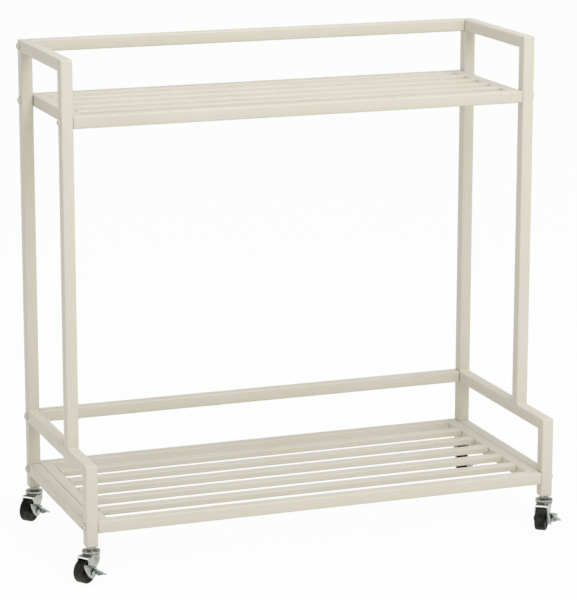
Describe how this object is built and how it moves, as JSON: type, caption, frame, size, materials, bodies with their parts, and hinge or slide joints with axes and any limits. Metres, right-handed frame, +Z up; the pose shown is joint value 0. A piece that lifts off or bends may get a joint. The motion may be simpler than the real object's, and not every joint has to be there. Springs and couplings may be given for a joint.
{
  "type": "flower cart stand",
  "caption": "Square-tube steel cart with a shallow slatted upper shelf, a deeper slatted lower shelf, an open back and swivel casters with brake levers.",
  "frame": {"origin": "on the floor under the middle of the cart, midway between the side frames, 184 mm in front of the rear faces of the rear uprights", "axes": "+X towards the right-hand side frame seen from the front, +Y towards the back, +Z up"},
  "size_m": [0.8204, 0.3808, 0.786],
  "materials": {
    "cream_enamel": "satin",
    "bolt_enamel": "satin",
    "caster_zinc": "bright zinc plate",
    "lever_zinc": "dull zinc plate",
    "wheel_plastic": "satin"
  },
  "bodies": {
    "cart_frame": {"back_lower_rail": "cream_enamel", "back_top_rail": "cream_enamel", "front_left_caster_stem": "caster_zinc", "front_right_caster_stem": "caster_zinc", "left_bolt_front_lower_shelf": "bolt_enamel", "left_bolt_front_upper_shelf": "bolt_enamel", "left_bolt_rear_lower_shelf": "bolt_enamel", "left_bolt_rear_middle": "bolt_enamel", "left_bolt_rear_top": "bolt_enamel", "left_bolt_rear_upper_shelf": "bolt_enamel", "left_bottom_rail": "cream_enamel", "left_front_post": "cream_enamel", "left_front_upright": "cream_enamel", "left_middle_rail": "cream_enamel", "left_rear_upright": "cream_enamel", "left_top_rail": "cream_enamel", "lower_shelf_frame": "cream_enamel", "lower_shelf_slat_1": "cream_enamel", "lower_shelf_slat_2": "cream_enamel", "lower_shelf_slat_3": "cream_enamel", "lower_shelf_slat_4": "cream_enamel", "lower_shelf_slat_5": "cream_enamel", "rear_left_caster_stem": "caster_zinc", "rear_right_caster_stem": "caster_zinc", "right_bolt_front_lower_shelf": "bolt_enamel", "right_bolt_front_upper_shelf": "bolt_enamel", "right_bolt_rear_lower_shelf": "bolt_enamel", "right_bolt_rear_middle": "bolt_enamel", "right_bolt_rear_top": "bolt_enamel", "right_bolt_rear_upper_shelf": "bolt_enamel", "right_bottom_rail": "cream_enamel", "right_front_post": "cream_enamel", "right_front_upright": "cream_enamel", "right_middle_rail": "cream_enamel", "right_rear_upright": "cream_enamel", "right_top_rail": "cream_enamel", "upper_shelf_frame": "cream_enamel", "upper_shelf_slat_1": "cream_enamel", "upper_shelf_slat_2": "cream_enamel", "upper_shelf_slat_3": "cream_enamel", "upper_shelf_slat_4": "cream_enamel"},
    "front_left_fork": {"front_left_caster_fork": "caster_zinc", "front_left_caster_axle": "caster_zinc"},
    "front_left_wheel": {"front_left_caster_wheel": "wheel_plastic"},
    "front_left_lever": {"front_left_brake_lever": "lever_zinc"},
    "front_right_fork": {"front_right_caster_fork": "caster_zinc", "front_right_caster_axle": "caster_zinc"},
    "front_right_wheel": {"front_right_caster_wheel": "wheel_plastic"},
    "front_right_lever": {"front_right_brake_lever": "lever_zinc"},
    "rear_left_fork": {"rear_left_caster_fork": "caster_zinc", "rear_left_caster_axle": "caster_zinc"},
    "rear_left_wheel": {"rear_left_caster_wheel": "wheel_plastic"},
    "rear_left_lever": {"rear_left_brake_lever": "lever_zinc"},
    "rear_right_fork": {"rear_right_caster_fork": "caster_zinc", "rear_right_caster_axle": "caster_zinc"},
    "rear_right_wheel": {"rear_right_caster_wheel": "wheel_plastic"},
    "rear_right_lever": {"rear_right_brake_lever": "lever_zinc"}
  },
  "joints": [
    {"name": "front_left_swivel", "type": "hinge", "parent": "cart_frame", "child": "front_left_fork", "pos_m": [-0.3805, -0.1555, 0.04], "axis": [0, 0, 1], "continuous": true},
    {"name": "front_left_wheel_spin", "type": "hinge", "parent": "front_left_fork", "child": "front_left_wheel", "pos_m": [-0.39361, -0.16468, 0.0185], "axis": [0.5736, -0.8192, 0], "continuous": true},
    {"name": "front_left_brake", "type": "hinge", "parent": "front_left_fork", "child": "front_left_lever", "pos_m": [-0.39361, -0.16468, 0.0185], "axis": [0.5736, -0.8192, 0], "range_deg": [0, 20]},
    {"name": "front_right_swivel", "type": "hinge", "parent": "cart_frame", "child": "front_right_fork", "pos_m": [0.3805, -0.1555, 0.04], "axis": [0, 0, 1], "continuous": true},
    {"name": "front_right_wheel_spin", "type": "hinge", "parent": "front_right_fork", "child": "front_right_wheel", "pos_m": [0.37076, -0.16819, 0.0185], "axis": [0.7934, -0.6088, 0], "continuous": true},
    {"name": "front_right_brake", "type": "hinge", "parent": "front_right_fork", "child": "front_right_lever", "pos_m": [0.37076, -0.16819, 0.0185], "axis": [0.7934, -0.6088, 0], "range_deg": [0, 20]},
    {"name": "rear_left_swivel", "type": "hinge", "parent": "cart_frame", "child": "rear_left_fork", "pos_m": [-0.3805, 0.1745, 0.04], "axis": [0, 0, 1], "continuous": true},
    {"name": "rear_left_wheel_spin", "type": "hinge", "parent": "rear_left_fork", "child": "rear_left_wheel", "pos_m": [-0.39201, 0.16339, 0.0185], "axis": [0.6947, -0.7193, 0], "continuous": true},
    {"name": "rear_left_brake", "type": "hinge", "parent": "rear_left_fork", "child": "rear_left_lever", "pos_m": [-0.39201, 0.16339, 0.0185], "axis": [0.6947, -0.7193, 0], "range_deg": [0, 20]},
    {"name": "rear_right_swivel", "type": "hinge", "parent": "cart_frame", "child": "rear_right_fork", "pos_m": [0.3805, 0.1745, 0.04], "axis": [0, 0, 1], "continuous": true},
    {"name": "rear_right_wheel_spin", "type": "hinge", "parent": "rear_right_fork", "child": "rear_right_wheel", "pos_m": [0.37503, 0.15946, 0.0185], "axis": [0.9397, -0.342, 0], "continuous": true},
    {"name": "rear_right_brake", "type": "hinge", "parent": "rear_right_fork", "child": "rear_right_lever", "pos_m": [0.37503, 0.15946, 0.0185], "axis": [0.9397, -0.342, 0], "range_deg": [0, 20]}
  ]
}
